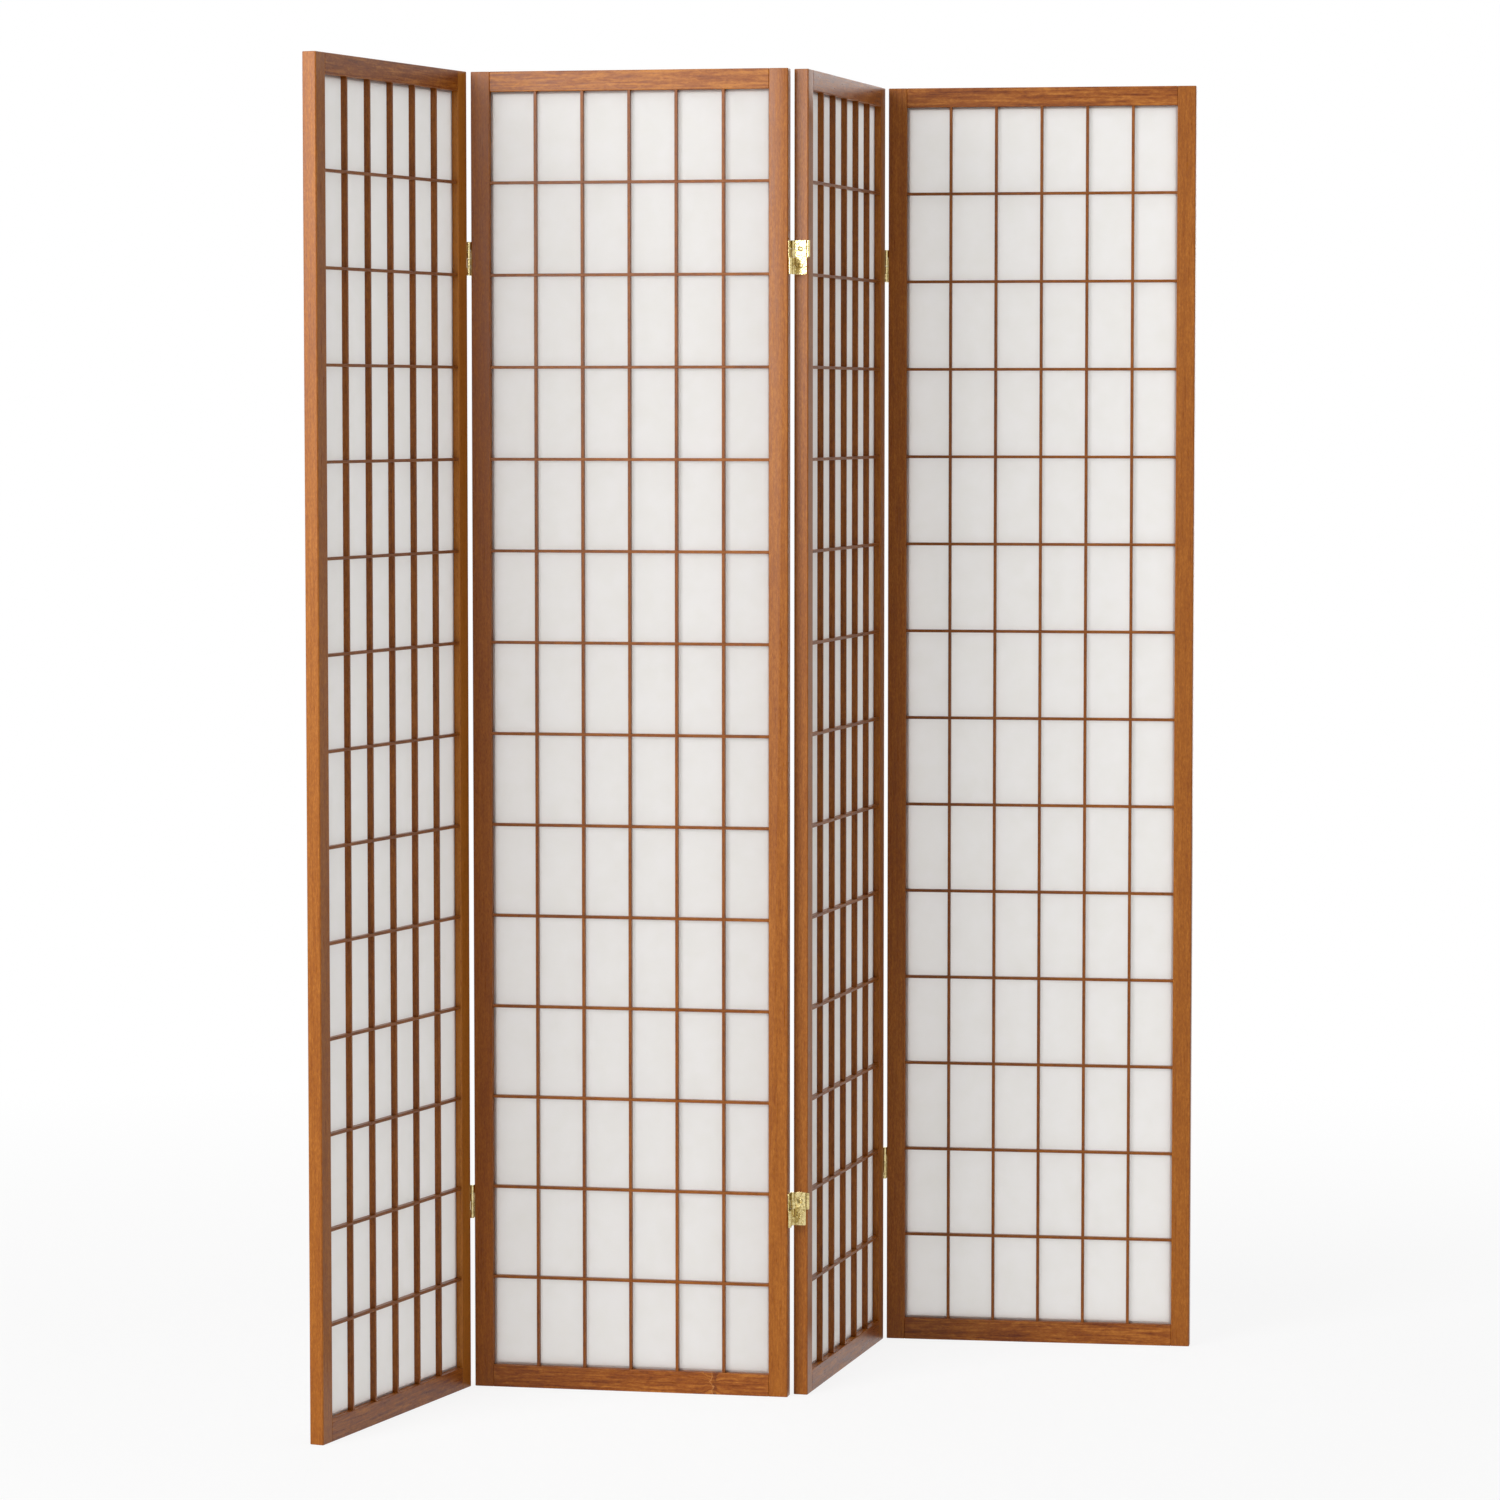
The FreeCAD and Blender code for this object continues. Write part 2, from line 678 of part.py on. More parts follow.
# The origin goes under the middle of the box round everything.
whole = FreeCAD.BoundBox()
for node in nodes:
    whole.add(node.Shape.optimalBoundingBox(False, False))
middle = Placement(Vector(-whole.Center.x, -whole.Center.y, 0), Rotation())
for node in nodes:
    node.Placement = middle * node.Placement
doc.recompute()

for item in doc.Objects:
    if "Invalid" in item.State or "Error" in item.State:
        raise RuntimeError("not built: " + item.Label)
for before, after in cuts:
    if after.Shape.Volume > before.Shape.Volume - 1e-3:
        raise RuntimeError("cuts nothing: " + after.Label)
for node in nodes:
    if node.Shape.isNull() or not node.Shape.isValid():
        raise RuntimeError("bad shape: " + node.Label)

os.makedirs("parts", exist_ok=True)
for node in nodes:
    node.Shape.exportStep("parts/%s.step" % node.Label)

print("nodes", len(nodes), "solids", sum(len(node.Shape.Solids) for node in nodes))
print("box %.2f x %.2f x %.2f" % (whole.XLength, whole.YLength, whole.ZLength))
rest = (middle * panels[1]).multVec(Vector(size("panel_width") / 2, half_thick, 0))
print("floor mount %.4f %.4f" % (rest.x, rest.y))
for number, (panel, (line, turn)) in enumerate(zip(panels, FOLDS), start=1):
    side = -1 if line == "front" else 1
    spot = (middle * panel * right_seat).multVec(Vector(0, side * pin_out, 0))
    print("fold %d turns %.1f about its %s pins at %.4f %.4f" % (number, turn, line, spot.x, spot.y))

# Where panels 2 and 3 fold back to back, the back knuckles of folds 1 and 3 come
# together at their far edges and stop fold 2 just short of flat.
knuckle_corner = size("knuckle_radius") / math.cos(math.radians(22.5))
reach = size("panel_width") + size("fold_gap")
short = 2 * math.asin((knuckle_corner + size("knuckle_gap") / 2) / reach)
print("fold 2 stops %.2f degrees short of flat" % math.degrees(short))
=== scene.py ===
# Four-panel shoji screen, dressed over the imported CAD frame. Metres, +Z up.
import json
import math
import random

import bmesh
import bpy
from mathutils import Euler, Matrix, Vector

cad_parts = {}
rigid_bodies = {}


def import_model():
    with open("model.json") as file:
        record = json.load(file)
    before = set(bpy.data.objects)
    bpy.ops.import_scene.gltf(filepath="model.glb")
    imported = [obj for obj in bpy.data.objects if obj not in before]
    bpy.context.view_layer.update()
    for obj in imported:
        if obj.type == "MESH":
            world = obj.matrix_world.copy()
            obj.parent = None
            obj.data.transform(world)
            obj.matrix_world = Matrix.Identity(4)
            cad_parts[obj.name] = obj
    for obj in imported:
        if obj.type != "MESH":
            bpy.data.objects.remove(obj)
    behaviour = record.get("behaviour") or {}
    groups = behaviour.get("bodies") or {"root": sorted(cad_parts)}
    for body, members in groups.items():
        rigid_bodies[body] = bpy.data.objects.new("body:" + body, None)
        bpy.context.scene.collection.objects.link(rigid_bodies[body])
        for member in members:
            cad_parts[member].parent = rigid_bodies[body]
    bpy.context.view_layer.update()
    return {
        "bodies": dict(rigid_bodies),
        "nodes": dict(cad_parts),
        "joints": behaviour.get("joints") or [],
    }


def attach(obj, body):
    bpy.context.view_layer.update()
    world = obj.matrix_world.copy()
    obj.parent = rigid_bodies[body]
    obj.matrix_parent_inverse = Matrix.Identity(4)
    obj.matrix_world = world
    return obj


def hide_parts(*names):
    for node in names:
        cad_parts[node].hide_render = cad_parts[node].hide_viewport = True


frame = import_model()

mm = 0.001
tiny = 0.001 * mm  # anything shorter counts as nothing
panelCount = len(frame["bodies"])
foldJoints = sorted(frame["joints"], key=lambda joint: joint["name"])

# One panel in its own coordinates: lower front left corner at 0, front face at y 0.
panelSize = dict(
    width=434 * mm,
    height=1784 * mm,
    thick=19.5 * mm,
    stileFace=26 * mm,
    topRail=27 * mm,
    bottomRail=30 * mm,
    foldGap=6 * mm,  # between two panels laid flat in line
    pinProud=0.8 * mm,  # hinge pin centres in front of the face or behind the back
)


def pinSpot(side, line):
    # Where a pin line passes one panel, seen from above.
    x = -panelSize["foldGap"] / 2
    if side == "right":
        x = panelSize["width"] - x
    y = -panelSize["pinProud"]
    if line == "back":
        y = panelSize["thick"] - y
    return Vector((x, y, 0))


def foldLine(joint):
    return "front" if joint["axis"][2] > 0 else "back"


def panelPlaces():
    # Panel 2 lies between two known pin lines. The others turn from it.
    spots = [Vector(joint["pos_m"]) for joint in foldJoints]
    lines = [foldLine(joint) for joint in foldJoints]
    own = pinSpot("right", lines[1]) - pinSpot("left", lines[0])
    real = spots[1] - spots[0]
    headings = {2: math.atan2(real.y, real.x) - math.atan2(own.y, own.x)}
    turns = []
    for joint, line in zip(foldJoints, lines):
        turn = math.radians(joint["range_deg"][1])
        turns.append(-turn if line == "front" else turn)
    headings[1] = headings[2] - turns[0]
    for number in range(3, panelCount + 1):
        headings[number] = headings[number - 1] + turns[number - 2]
    places = {}
    for number, heading in headings.items():
        if number == 1:
            anchor, spot = pinSpot("right", lines[0]), spots[0]
        else:
            anchor, spot = pinSpot("left", lines[number - 2]), spots[number - 2]
        turned = Matrix.Rotation(heading, 4, "Z")
        places[number] = Matrix.Translation(spot - turned @ anchor) @ turned
    return places


places = panelPlaces()
folds = {number: foldLine(joint) for number, joint in enumerate(foldJoints, 1)}
print("panels face", [round(math.degrees(places[n].to_euler().z), 1) for n in sorted(places)])


def addNode(tree, kind, inputs=None, **settings):
    node = tree.nodes.new(kind)
    for key, value in settings.items():
        setattr(node, key, value)
    for key, value in (inputs or {}).items():
        node.inputs[key].default_value = value
    return node


def noiseNode(tree, vector, scale, detail=3.0, roughness=0.5, distortion=0.0, kind="FBM"):
    inputs = {"Scale": scale, "Detail": detail, "Roughness": roughness, "Distortion": distortion}
    node = addNode(tree, "ShaderNodeTexNoise", inputs, noise_type=kind)
    tree.links.new(vector, node.inputs["Vector"])
    return node.outputs[0]


def mathNode(tree, operation, first, second=None):
    node = addNode(tree, "ShaderNodeMath", operation=operation)
    for socket, value in zip(node.inputs, (first, second)):
        if value is None:
            continue
        if isinstance(value, (int, float)):
            socket.default_value = value
        else:
            tree.links.new(value, socket)
    return node.outputs[0]


def spread(tree, value, low, high, toLow=0.0, toHigh=1.0):
    # Takes a value from low..high to toLow..toHigh and holds it there.
    node = addNode(tree, "ShaderNodeMapRange", clamp=True)
    for socket, number in zip(node.inputs[1:5], (low, high, toLow, toHigh)):
        socket.default_value = number
    tree.links.new(value, node.inputs[0])
    return node.outputs[0]


def rampNode(tree, value, stops):
    node = addNode(tree, "ShaderNodeValToRGB")
    band = node.color_ramp
    while len(band.elements) < len(stops):
        band.elements.new(0.5)
    for element, (spot, colour) in zip(band.elements, stops):
        element.position = spot
        element.color = (*colour, 1)
    tree.links.new(value, node.inputs[0])
    return node.outputs[0]


def mixColour(tree, amount, first, second, blend="MIX"):
    node = addNode(tree, "ShaderNodeMix", data_type="RGBA", blend_type=blend)
    sockets = (node.inputs[0], node.inputs[6], node.inputs[7])
    for socket, value in zip(sockets, (amount, first, second)):
        if isinstance(value, (int, float)):
            socket.default_value = value
        elif isinstance(value, tuple):
            socket.default_value = (*value, 1)
        else:
            tree.links.new(value, socket)
    return node.outputs[2]


def placed(tree, vector, matrix=None, scale=(1, 1, 1)):
    # Moves texture coordinates by a matrix, or stretches them.
    node = addNode(tree, "ShaderNodeMapping")
    if matrix is not None:
        node.inputs["Location"].default_value = matrix.translation
        node.inputs["Rotation"].default_value = matrix.to_euler()
    node.inputs["Scale"].default_value = scale
    tree.links.new(vector, node.inputs["Vector"])
    return node.outputs[0]


def newMaterial(name):
    material = bpy.data.materials.new(name)
    material.use_nodes = True
    tree = material.node_tree
    return material, tree, tree.nodes["Principled BSDF"]


def srgb(red, green, blue):
    # A colour given as 0..255 values, made linear.
    return tuple(
        c / 12.92 if c <= 0.04045 else ((c + 0.055) / 1.055) ** 2.4
        for c in (red / 255, green / 255, blue / 255)
    )


# Stained and lacquered wood. Sizes of the figure are waves in a metre.
woodLook = dict(
    stile=dict(
        dark=srgb(134, 69, 12),
        mid=srgb(158, 90, 20),
        light=srgb(182, 112, 36),
        bandSize=55.0,
        bands=0.22,
        mottle=0.2,
    ),
    rail=dict(
        dark=srgb(108, 48, 10),
        mid=srgb(150, 81, 20),
        light=srgb(190, 120, 46),
        bandSize=210.0,
        bands=0.42,
        mottle=0.55,
    ),
    slat=dict(
        dark=srgb(106, 53, 12),
        mid=srgb(138, 76, 18),
        light=srgb(164, 97, 32),
        bandSize=55.0,
        bands=0.3,
        mottle=0.3,
    ),
    toneStops=(0.34, 0.5, 0.66),  # where dark, mid and light lie
    apart=4.0,  # how far one board's figure may lie from the next one's
    streakPace=0.05,  # along the grain, against 1 across it
    curlPace=0.35,
    mottleSize=120.0,
    mottleSwing=0.6,
    fibreSize=420.0,
    fibreShare=0.35,
    fleckSize=560.0,
    poreSize=1500.0,
    porePace=0.12,
    poreRange=(0.60, 0.70),
    poreDark=0.35,
    roughness=0.31,
    smoother=0.05,  # between the fibres
    rougher=0.07,  # on them
    gloss=0.27,  # specular level of the satin lacquer
    bump=0.3,
    bumpHigh=0.05 * mm,
)
knot = dict(
    wide=1.0 * mm,
    wander=150.0,
    swing=16 * mm,
    reach=9 * mm,
    bend=0.8,
    pale=srgb(196, 134, 74),
    paleShare=0.85,
    dark=srgb(96, 40, 12),
    darkShare=0.8,
    darkBeside=-3.0,  # in knot widths from its middle
    darkWide=4.0,
)
grainUp = Matrix.Identity(4)
grainAcross = Matrix.Rotation(math.radians(90), 4, "Y")


def growKnot(tree, board, spot, across):
    # Bends the board's grain round a pin knot and returns its pale and dark shares.
    # spot and across count along the grain and square to it, from the board's own zero.
    parts = addNode(tree, "ShaderNodeSeparateXYZ")
    tree.links.new(board, parts.inputs[0])
    wander = noiseNode(tree, board, knot["wander"], 2, 0.5)
    swing = mathNode(tree, "MULTIPLY", mathNode(tree, "SUBTRACT", wander, 0.5), knot["swing"])
    along = mathNode(tree, "ADD", mathNode(tree, "SUBTRACT", parts.outputs[2], spot), swing)
    square = mathNode(tree, "SUBTRACT", parts.outputs[0], across)
    away = mathNode(tree, "DIVIDE", along, knot["reach"])
    near = mathNode(tree, "MULTIPLY", mathNode(tree, "MULTIPLY", away, away), -1)
    near = mathNode(tree, "EXPONENT", near)
    pull = mathNode(tree, "MULTIPLY", near, mathNode(tree, "MULTIPLY", square, knot["bend"]))
    bend = addNode(tree, "ShaderNodeCombineXYZ")
    tree.links.new(pull, bend.inputs[0])
    bent = addNode(tree, "ShaderNodeVectorMath", operation="ADD")
    tree.links.new(board, bent.inputs[0])
    tree.links.new(bend.outputs[0], bent.inputs[1])
    wide = knot["wide"]
    pale = spread(tree, mathNode(tree, "ABSOLUTE", along), 0.3 * wide, wide, 1, 0)
    beside = mathNode(tree, "SUBTRACT", along, knot["darkBeside"] * wide)
    beside = mathNode(tree, "ABSOLUTE", beside)
    dark = spread(tree, beside, 0.5 * wide, knot["darkWide"] * wide, 1, 0)
    dark = mathNode(tree, "MULTIPLY", dark, spread(tree, wander, 0.35, 0.6))
    return bent.outputs[0], pale, dark


def makeWood(name, tones, toBoard, seed, knotAt=None, paintedLightShift=0.0):
    # toBoard turns the mesh's coordinates to the board's own, with its grain along Z.
    look = woodLook
    wood, tree, shader = newMaterial(name)
    draw = random.Random(seed)
    coords = addNode(tree, "ShaderNodeTexCoord").outputs["Object"]
    board = placed(tree, coords, toBoard)
    if knotAt:
        board, pale, dark = growKnot(tree, board, *knotAt)
    away = [draw.uniform(0, look["apart"]) for _ in range(3)]
    board = placed(tree, board, Matrix.Translation(away))
    streaked = placed(tree, board, scale=(1, 1, look["streakPace"]))
    curly = placed(tree, board, scale=(1, 1, look["curlPace"]))

    bands = noiseNode(tree, streaked, tones["bandSize"], 3, 0.55, 0.6)
    fibres = noiseNode(tree, streaked, look["fibreSize"], 4, 0.6)
    flecks = noiseNode(tree, curly, look["fleckSize"], 3, 0.6)
    mottle = noiseNode(tree, curly, look["mottleSize"], 3, 0.6, 1.2)
    tone = mathNode(tree, "MULTIPLY", bands, tones["bands"])
    tone = mathNode(tree, "ADD", tone, mathNode(tree, "MULTIPLY", fibres, look["fibreShare"]))
    fleckShare = 1 - look["fibreShare"] - tones["bands"]
    tone = mathNode(tree, "ADD", tone, mathNode(tree, "MULTIPLY", flecks, fleckShare))
    swing = mathNode(tree, "SUBTRACT", mottle, 0.5)
    swing = mathNode(tree, "MULTIPLY", swing, tones["mottle"] * look["mottleSwing"])
    # paintedLightShift moves the whole board's tone: up for painted light, down for painted shade.
    tone = mathNode(tree, "ADD", mathNode(tree, "ADD", tone, swing), paintedLightShift)
    stops = zip(look["toneStops"], (tones["dark"], tones["mid"], tones["light"]))
    colour = rampNode(tree, tone, list(stops))

    pored = placed(tree, board, scale=(1, 1, look["porePace"]))
    pores = noiseNode(tree, pored, look["poreSize"], 2, 0.5)
    pores = spread(tree, pores, *look["poreRange"])
    darkening = mathNode(tree, "MULTIPLY", pores, look["poreDark"])
    colour = mixColour(tree, darkening, colour, tones["dark"], "MULTIPLY")
    if knotAt:
        dark = mathNode(tree, "MULTIPLY", dark, knot["darkShare"])
        colour = mixColour(tree, dark, colour, knot["dark"])
        pale = mathNode(tree, "MULTIPLY", pale, knot["paleShare"])
        colour = mixColour(tree, pale, colour, knot["pale"])
    tree.links.new(colour, shader.inputs["Base Color"])

    smoothest = look["roughness"] - look["smoother"]
    rough = spread(tree, fibres, 0.3, 0.7, smoothest, look["roughness"] + look["rougher"])
    tree.links.new(rough, shader.inputs["Roughness"])
    shader.inputs["Specular IOR Level"].default_value = look["gloss"]

    height = mathNode(tree, "SUBTRACT", fibres, pores)
    relief = {"Strength": look["bump"], "Distance": look["bumpHigh"]}
    bump = addNode(tree, "ShaderNodeBump", relief)
    tree.links.new(height, bump.inputs["Height"])
    tree.links.new(bump.outputs[0], shader.inputs["Normal"])
    return wood


# The CAD stiles and rails, stained, three of them with painted light or painted shade, and with
# softened edges.
knottyRails = {"panel_2_bottom_rail": (-0.33, 0.015)}  # minus x along the rail, then z
# Painted light and shade on single boards: panel 1's right stile and panel 2's top rail are
# lightened as if lit more strongly, and panel 2's left stile is darkened as a painted shadow of
# panel 1.
paintedLightByBoard = dict(panel_1_right_stile=0.14, panel_2_left_stile=-0.07, panel_2_top_rail=0.05)
easedEdge = dict(width=0.45 * mm, segments=3, sharper=math.radians(25), weld=0.01 * mm)


def softenEdges(piece, width=None, weld=False):
    if weld:
        join = piece.modifiers.new("join", "WELD")
        join.merge_threshold = easedEdge["weld"]
    ease = piece.modifiers.new("ease", "BEVEL")
    ease.width = width or easedEdge["width"]
    ease.segments = easedEdge["segments"]
    ease.limit_method = "ANGLE"
    ease.angle_limit = easedEdge["sharper"]
    ease.harden_normals = True


def dressNode(name, material):
    node = frame["nodes"][name]
    node.data.materials.clear()
    node.data.materials.append(material)
    softenEdges(node, weld=True)


for number, place in places.items():
    own = place.inverted()
    for part, tones, grain in (
        ("left_stile", "stile", grainUp),
        ("right_stile", "stile", grainUp),
        ("top_rail", "rail", grainAcross),
        ("bottom_rail", "rail", grainAcross),
    ):
        name = "panel_%d_%s" % (number, part)
        knotAt = knottyRails.get(name)
        # This board's painted light (above 0) or painted shade (below 0).
        paintedLightShift = paintedLightByBoard.get(name, 0.0)
        wood = makeWood(name + "_wood", woodLook[tones], grain @ own, name, knotAt, paintedLightShift)
        dressNode(name, wood)
print("frames stained and eased")


def newPiece(name, mesh, place, body, replaced):
    piece = bpy.data.objects.new(name, mesh)
    bpy.context.scene.collection.objects.link(piece)
    piece.matrix_world = place
    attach(piece, body)
    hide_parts(replaced)
    return piece


def meshOf(shape, name):
    mesh = bpy.data.meshes.new(name)
    bmesh.ops.recalc_face_normals(shape, faces=shape.faces)
    shape.to_mesh(mesh)
    shape.free()
    return mesh


def addPrism(shape, outline, start, end, axis="Z"):
    # Extrudes a flat outline along an axis. The outline gives the other two
    # coordinates in order.
    def spot(a, b, c):
        return {"Z": (a, b, c), "X": (c, a, b), "Y": (a, c, b)}[axis]

    low = [shape.verts.new(spot(a, b, start)) for a, b in outline]
    high = [shape.verts.new(spot(a, b, end)) for a, b in outline]
    count = len(outline)
    faces = [shape.faces.new(low[::-1]), shape.faces.new(high)]
    for k in range(count):
        after = (k + 1) % count
        faces.append(shape.faces.new((low[k], low[after], high[after], high[k])))
    return faces


def smoothShade(mesh):
    mesh.polygons.foreach_set("use_smooth", [True] * len(mesh.polygons))


# The lattice: upright and cross slats, half-lapped.
lattice = dict(
    columns=6,
    rows=14,
    face=4 * mm,
    deep=8 * mm,
    recess=1.5 * mm,  # slat fronts behind the frame's front
    stub=3 * mm,  # upright ends let into the rails
    lapPlay=0.05 * mm,
    ease=0.35 * mm,
)
opening = dict(
    left=panelSize["stileFace"],
    right=panelSize["width"] - panelSize["stileFace"],
    low=panelSize["bottomRail"],
    high=panelSize["height"] - panelSize["topRail"],
)
columnPitch = (opening["right"] - opening["left"] + lattice["face"]) / lattice["columns"]
rowPitch = (opening["high"] - opening["low"] + lattice["face"]) / lattice["rows"]
columnSpots = [
    opening["left"] - lattice["face"] / 2 + columnPitch * k for k in range(1, lattice["columns"])
]
rowSpots = [opening["low"] - lattice["face"] / 2 + rowPitch * k for k in range(1, lattice["rows"])]


def notchedOutline(start, end, plain, notched, depth, spots, half):
    # A long slat seen edge on: one plain edge, one edge with a notch at each spot.
    outline = [(start, plain), (end, plain), (end, notched)]
    for spot in reversed(spots):
        outline += [
            (spot + half, notched),
            (spot + half, depth),
            (spot - half, depth),
            (spot - half, notched),
        ]
    outline.append((start, notched))
    return outline


def uprightSlats(name):
    front = lattice["recess"]
    back = front + lattice["deep"]
    middle = (front + back) / 2
    half = lattice["face"] / 2
    low = opening["low"] - lattice["stub"]
    high = opening["high"] + lattice["stub"]
    notch = half + lattice["lapPlay"]
    outline = notchedOutline(low, high, back, front, middle, rowSpots, notch)
    shape = bmesh.new()
    for spot in columnSpots:
        addPrism(shape, [(y, z) for z, y in outline], spot - half, spot + half, "X")
    return meshOf(shape, name)


def crossSlats(name):
    front = lattice["recess"]
    back = front + lattice["deep"]
    middle = (front + back) / 2
    half = lattice["face"] / 2
    notch = half + lattice["lapPlay"]
    left, right = opening["left"], opening["right"]
    outline = notchedOutline(left, right, front, back, middle, columnSpots, notch)
    shape = bmesh.new()
    for spot in rowSpots:
        addPrism(shape, outline, spot - half, spot + half)
    return meshOf(shape, name)


for number, place in places.items():
    body = "panel_%d" % number
    for kind, make, grain in (
        ("vertical_slats", uprightSlats, grainUp),
        ("horizontal_slats", crossSlats, grainAcross),
    ):
        name = "panel_%d_%s" % (number, kind)
        mesh = make(name)
        mesh.materials.append(makeWood(name + "_wood", woodLook["slat"], grain, name))
        piece = newPiece("lapped_" + name, mesh, place, body, name)
        softenEdges(piece, lattice["ease"])
print("lattices lapped")


# The beads that hold the paper in its rebate, seen from behind.
bead = dict(
    rebate=5 * mm,
    face=8 * mm,
    deep=6 * mm,
    gap=0.2 * mm,
    paper=0.4 * mm,  # room for the paper in front of them
    ease=0.6 * mm,
)


def beadFrame(name):
    front = lattice["recess"] + lattice["deep"] + bead["paper"]
    back = front + bead["deep"]
    margin = bead["rebate"] - bead["gap"]
    left = opening["left"] - margin
    right = opening["right"] + margin
    low = opening["low"] - margin
    high = opening["high"] + margin
    wide = bead["face"]
    inLeft = left + wide + bead["gap"]
    inRight = right - wide - bead["gap"]
    shape = bmesh.new()
    for x in (left, right - wide):
        addPrism(shape, [(x, front), (x + wide, front), (x + wide, back), (x, back)], low, high)
    for z in (low, high - wide):
        outline = [(inLeft, front), (inRight, front), (inRight, back), (inLeft, back)]
        for face in addPrism(shape, outline, z, z + wide):
            face.material_index = 1
    return meshOf(shape, name)


for number, place in places.items():
    name = "panel_%d_paper_beads" % number
    mesh = beadFrame(name)
    tones = woodLook["rail"]
    mesh.materials.append(makeWood(name + "_upright_wood", tones, grainUp, name))
    mesh.materials.append(makeWood(name + "_cross_wood", tones, grainAcross, name + "_cross"))
    piece = newPiece("eased_" + name, mesh, place, "panel_%d" % number, name)
    softenEdges(piece, bead["ease"])
print("beads set")


# Shoji paper: one taut sheet to a panel, slack by a hair between the slats.
paper = dict(
    trim=0.8 * mm,  # short of the rebate wall
    thick=0.2 * mm,
    offSlats=0.01 * mm,
    slack=0.16 * mm,
    across=78,  # faces from side to side
    up=280,
    waves=5,
    wavesAcross=(12, 50),
    wavesUp=(4, 14),
    colour=srgb(240, 239, 238),
    cloud=srgb(238, 237, 235),
    cloudSize=38,
    pulpSize=420,
    fibre=srgb(245, 244, 243),
    fibreSize=150,
    fibreShare=0.55,
    glow=0.70,  # share of light that passes through
    gloss=0.2,
    roughness=(0.78, 0.95),
    bump=0.3,
    bumpHigh=0.05 * mm,
)


def makePaper():
    material, tree, shader = newMaterial("shoji_paper")
    coords = addNode(tree, "ShaderNodeTexCoord").outputs["Object"]
    clouds = noiseNode(tree, coords, paper["cloudSize"], 4, 0.6)
    pulp = noiseNode(tree, coords, paper["pulpSize"], 3, 0.6)
    upward = placed(tree, coords, scale=(1, 1, 0.45))
    hair = noiseNode(tree, upward, paper["fibreSize"], 3, 0.5, 1.5, "RIDGED_MULTIFRACTAL")
    colour = mixColour(tree, spread(tree, clouds, 0.35, 0.7), paper["colour"], paper["cloud"])
    strands = mathNode(tree, "MULTIPLY", spread(tree, hair, 0.9, 1.3), paper["fibreShare"])
    colour = mixColour(tree, strands, colour, paper["fibre"])
    tree.links.new(colour, shader.inputs["Base Color"])
    shader.inputs["Specular IOR Level"].default_value = paper["gloss"]
    rough = spread(tree, pulp, 0.3, 0.7, *paper["roughness"])
    tree.links.new(rough, shader.inputs["Roughness"])
    relief = {"Strength": paper["bump"], "Distance": paper["bumpHigh"]}
    bump = addNode(tree, "ShaderNodeBump", relief)
    tree.links.new(mathNode(tree, "ADD", pulp, strands), bump.inputs["Height"])
    tree.links.new(bump.outputs[0], shader.inputs["Normal"])
    through = addNode(tree, "ShaderNodeBsdfTranslucent")
    tree.links.new(colour, through.inputs["Color"])
    both = addNode(tree, "ShaderNodeMixShader", {0: paper["glow"]})
    tree.links.new(shader.outputs[0], both.inputs[1])
    tree.links.new(through.outputs[0], both.inputs[2])
    tree.links.new(both.outputs[0], tree.nodes["Material Output"].inputs["Surface"])
    return material


def slackness(x, lines):
    # 0 on a glue line, 1 midway between two of them.
    after = next((k for k, line in enumerate(lines) if line >= x), len(lines) - 1)
    before = max(after - 1, 0)
    span = lines[after] - lines[before]
    if span < tiny:
        return 0.0
    return math.sin(math.pi * (x - lines[before]) / span) ** 2


def paperSheet(name, seed):
    margin = bead["rebate"] - paper["trim"]
    left = opening["left"] - margin
    right = opening["right"] + margin
    low = opening["low"] - margin
    high = opening["high"] + margin
    front = lattice["recess"] + lattice["deep"] + paper["offSlats"]
    lines = [opening["left"]] + columnSpots + [opening["right"]]
    draw = random.Random(seed)
    waves = [
        (draw.uniform(*paper["wavesAcross"]), draw.uniform(*paper["wavesUp"]), draw.uniform(0, 6))
        for _ in range(paper["waves"])
    ]
    shape = bmesh.new()
    rows = []
    for j in range(paper["up"] + 1):
        z = low + (high - low) * j / paper["up"]
        line = []
        for i in range(paper["across"] + 1):
            x = left + (right - left) * i / paper["across"]
            inside = opening["left"] < x < opening["right"]
            give = slackness(x, lines) if inside else 0.0
            wave = sum(math.sin(x * a + z * b + c) for a, b, c in waves) / len(waves)
            sag = paper["slack"] * give * (0.5 + 0.5 * wave)
            line.append(shape.verts.new((x, front + sag, z)))
        rows.append(line)
    for j in range(paper["up"]):
        for i in range(paper["across"]):
            shape.faces.new((rows[j][i], rows[j][i + 1], rows[j + 1][i + 1], rows[j + 1][i]))
    mesh = meshOf(shape, name)
    smoothShade(mesh)
    return mesh, (right - left, high - low)


shojiPaper = makePaper()
for number, place in places.items():
    name = "panel_%d_paper" % number
    mesh, flat = paperSheet(name, name)
    mesh.materials.append(shojiPaper)
    piece = newPiece("taut_" + name, mesh, place, "panel_%d" % number, name)
    if sum(face.normal.y for face in mesh.polygons) > 0:
        mesh.flip_normals()
    sheet = piece.modifiers.new("sheet", "SOLIDIFY")
    sheet.thickness = paper["thick"]
    sheet.offset = -1
print("paper stretched")


